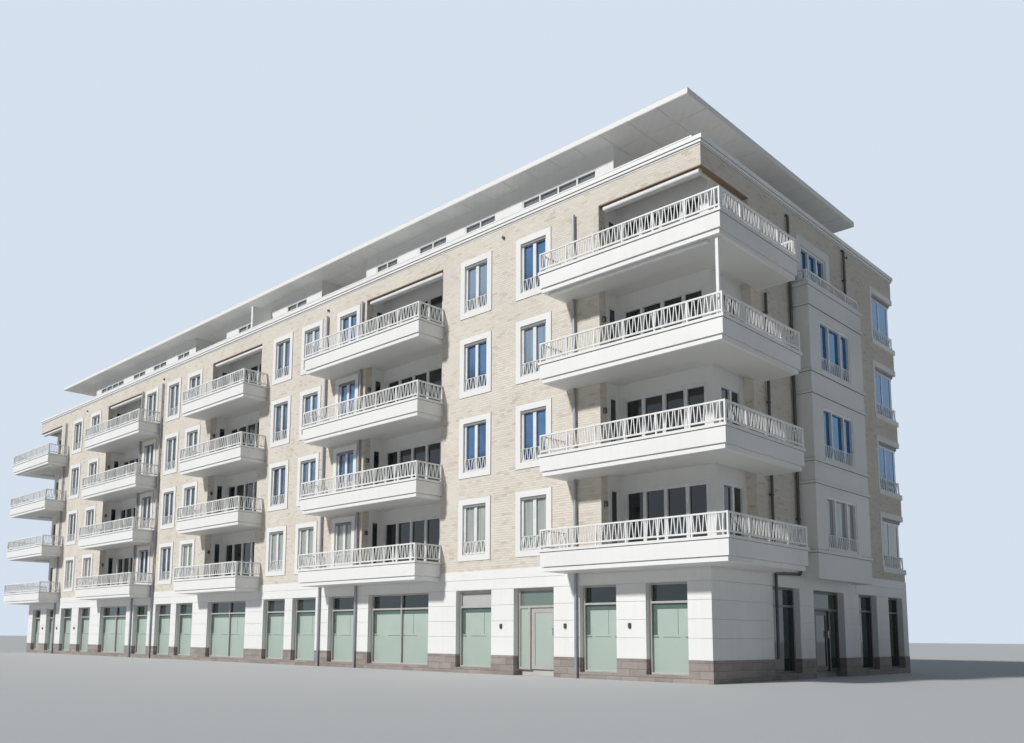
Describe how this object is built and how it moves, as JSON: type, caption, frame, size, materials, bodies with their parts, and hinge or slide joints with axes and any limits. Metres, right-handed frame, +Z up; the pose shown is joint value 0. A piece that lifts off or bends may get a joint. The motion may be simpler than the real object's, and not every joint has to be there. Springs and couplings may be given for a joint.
{
  "type": "apartment block, 1:2 scale model",
  "caption": "Long apartment block with a white base, cream brick storeys with loggias and white balconies, boxed oriels and a set-back penthouse under a thin flat roof; both doors swing.",
  "frame": {"origin": "on the ground in the middle of the block's footprint", "axes": "+X along the long front towards the corner with the open balconies, +Y from the front to the back, +Z up"},
  "size_m": [27.952, 8.291, 9.44],
  "materials": {
    "concrete": "smooth cast concrete",
    "white_panel": "white panelled render with level grooves",
    "plinth_stone": "brown-grey stone slabs",
    "brick": "cream and beige brick in stretcher bond",
    "white_trim": "white moulded trim",
    "white_render": "fine white render",
    "white_metal": "white powder coat",
    "roof_white": "white metal roof edge and boarded soffit",
    "glass": "clear window glass",
    "shop_glass": "pale green frosted glass",
    "door_paint": "grey-beige satin paint",
    "steel": "brushed",
    "shutter_metal": "light roller slats",
    "zinc": "weathered zinc",
    "lamp_metal": "dark matt paint"
  },
  "bodies": {
    "building": {"awning_cassettes": "white_metal", "balcony_corner_post": "white_metal", "balcony_fascias_front": "white_trim", "balcony_fascias_side": "white_trim", "balcony_railings_front": "white_metal", "balcony_railings_side": "white_metal", "balcony_slabs_front": "white_render", "balcony_slabs_side": "white_render", "base_wall_back": "white_panel", "base_walls_end": "white_panel", "base_walls_front": "white_panel", "base_walls_over_doors": "white_panel", "brick_frieze_ends": "brick", "brick_frieze_long_sides": "brick", "brick_wall_back": "brick", "brick_walls_end": "brick", "brick_walls_front": "brick", "coping_ends": "white_trim", "coping_long_sides": "white_trim", "door_frames": "door_paint", "door_side_lights": "shop_glass", "downpipes": "zinc", "floor_slabs": "concrete", "loggia_back_walls": "white_render", "loggia_floors": "white_render", "loggia_glass": "glass", "loggia_side_walls": "white_render", "oriel_caps": "white_trim", "oriel_cheeks": "white_panel", "oriel_floors": "concrete", "oriel_fronts": "white_panel", "oriel_glass": "glass", "oriel_railing_fronts": "white_metal", "oriel_railing_returns": "white_metal", "oriel_string_courses": "white_trim", "penthouse_glass": "glass", "penthouse_long_walls": "white_render", "penthouse_side_walls": "white_render", "plinth_back": "plinth_stone", "plinth_front": "plinth_stone", "plinth_sides": "plinth_stone", "roller_shutter": "shutter_metal", "roof_plates": "roof_white", "shop_glass": "shop_glass", "terrace_door_glass": "glass", "terrace_door_surrounds": "white_trim", "terrace_railing_ends": "white_metal", "terrace_railing_long_sides": "white_metal", "terrace_slab": "concrete", "wall_lamps": "lamp_metal", "window_glass": "glass", "window_surrounds_back": "white_trim", "window_surrounds_front": "white_trim"},
    "entrance_door": {"entrance_leaf": "door_paint", "entrance_leaf_glass": "shop_glass", "entrance_handle": "steel"},
    "side_door": {"side_door_leaf": "door_paint", "side_door_leaf_glass": "shop_glass", "side_door_handle": "steel"}
  },
  "joints": [
    {"name": "entrance_hinge", "type": "hinge", "parent": "building", "child": "entrance_door", "pos_m": [9.8035, -3.607, 0.6], "axis": [0, 0, 1], "range_deg": [0, 90]},
    {"name": "side_door_hinge", "type": "hinge", "parent": "building", "child": "side_door", "pos_m": [13.122, -0.1885, 0.6], "axis": [0, 0, 1], "range_deg": [0, 90]}
  ]
}
